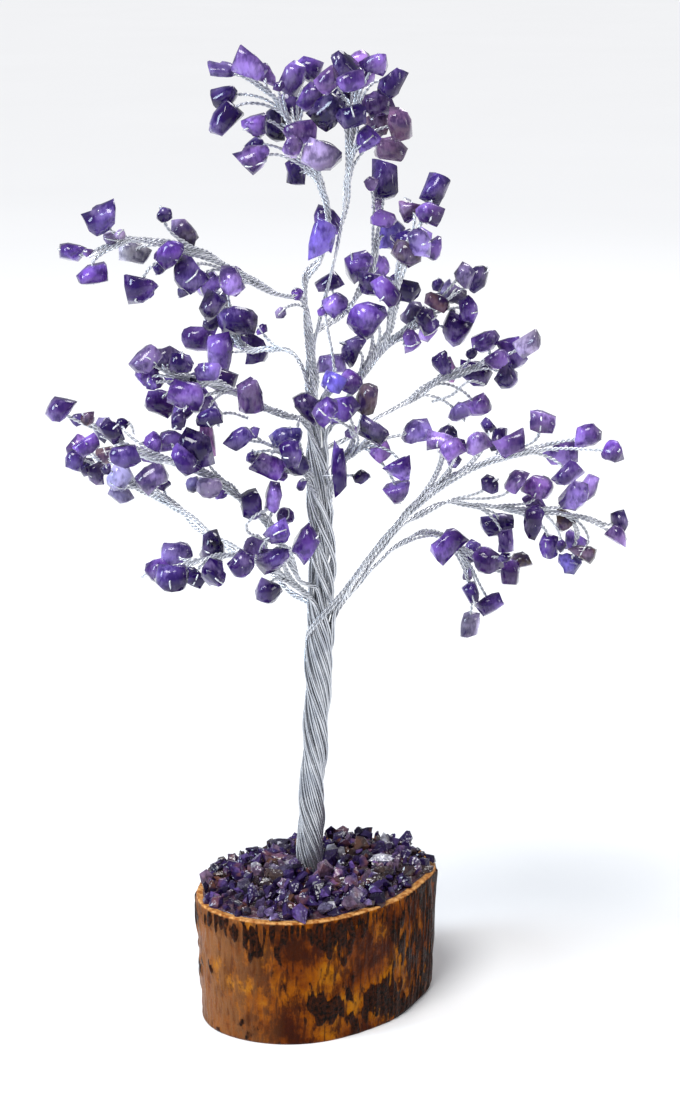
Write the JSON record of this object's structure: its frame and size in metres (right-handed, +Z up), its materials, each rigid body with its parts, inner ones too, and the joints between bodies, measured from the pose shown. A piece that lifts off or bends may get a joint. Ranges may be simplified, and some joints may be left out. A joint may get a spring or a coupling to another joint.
{
  "type": "gemstone tree ornament",
  "caption": "Bonsai-style ornament tree: drilled amethyst chips on silver wire twigs, a laid wire trunk, and a bark-on log slice topped with crushed stone.",
  "frame": {"origin": "middle of the log slice's flat underside, on the ground", "axes": "+Z up the trunk, -Y toward the front as pictured, +X to the picture's right"},
  "size_m": [0.1498, 0.0779, 0.2517],
  "materials": {
    "trunk_wire": "bright drawn craft wire, twisted",
    "twig_wire": "bright drawn craft wire, twisted in pairs",
    "amethyst": "tumbled and polished, translucent",
    "bark_wood": "bark on, varnished",
    "resin": "clear-setting glue bed",
    "crushed_dark": "crushed amethyst, dark pieces",
    "crushed_pale": "crushed amethyst and quartz, pale pieces"
  },
  "bodies": {
    "root": {"centre_left_branch_stones": "amethyst", "centre_left_branch_strand": "trunk_wire", "centre_left_branch_twigs": "twig_wire", "centre_right_branch_stones": "amethyst", "centre_right_branch_strand": "trunk_wire", "centre_right_branch_twigs": "twig_wire", "crushed_stone_dark": "crushed_dark", "crushed_stone_pale": "crushed_pale", "front_branch_stones": "amethyst", "front_branch_strand": "trunk_wire", "front_branch_twigs": "twig_wire", "left_branch_stones": "amethyst", "left_branch_strand": "trunk_wire", "left_branch_twigs": "twig_wire", "left_middle_branch_stones": "amethyst", "left_middle_branch_strand": "trunk_wire", "left_middle_branch_twigs": "twig_wire", "left_shoulder_branch_stones": "amethyst", "left_shoulder_branch_strand": "trunk_wire", "left_shoulder_branch_twigs": "twig_wire", "low_left_branch_stones": "amethyst", "low_left_branch_strand": "trunk_wire", "low_left_branch_twigs": "twig_wire", "low_left_front_branch_stones": "amethyst", "low_left_front_branch_strand": "trunk_wire", "low_left_front_branch_twigs": "twig_wire", "low_right_branch_stones": "amethyst", "low_right_branch_strand": "trunk_wire", "low_right_branch_twigs": "twig_wire", "low_right_drooping_branch_stones": "amethyst", "low_right_drooping_branch_strand": "trunk_wire", "low_right_drooping_branch_twigs": "twig_wire", "low_right_spreading_branch_stones": "amethyst", "low_right_spreading_branch_strand": "trunk_wire", "low_right_spreading_branch_twigs": "twig_wire", "resin_bed": "resin", "right_middle_branch_stones": "amethyst", "right_middle_branch_strand": "trunk_wire", "right_middle_branch_twigs": "twig_wire", "right_shoulder_branch_stones": "amethyst", "right_shoulder_branch_strand": "trunk_wire", "right_shoulder_branch_twigs": "twig_wire", "top_left_branch_stones": "amethyst", "top_left_branch_strand": "trunk_wire", "top_left_branch_twigs": "twig_wire", "top_right_branch_stones": "amethyst", "top_right_branch_strand": "trunk_wire", "top_right_branch_twigs": "twig_wire", "upper_left_branch_stones": "amethyst", "upper_left_branch_strand": "trunk_wire", "upper_left_branch_twigs": "twig_wire", "upper_right_inner_branch_stones": "amethyst", "upper_right_inner_branch_strand": "trunk_wire", "upper_right_inner_branch_twigs": "twig_wire", "upper_right_outer_branch_stones": "amethyst", "upper_right_outer_branch_strand": "trunk_wire", "upper_right_outer_branch_twigs": "twig_wire", "wood_slice": "bark_wood"}
  },
  "joints": []
}
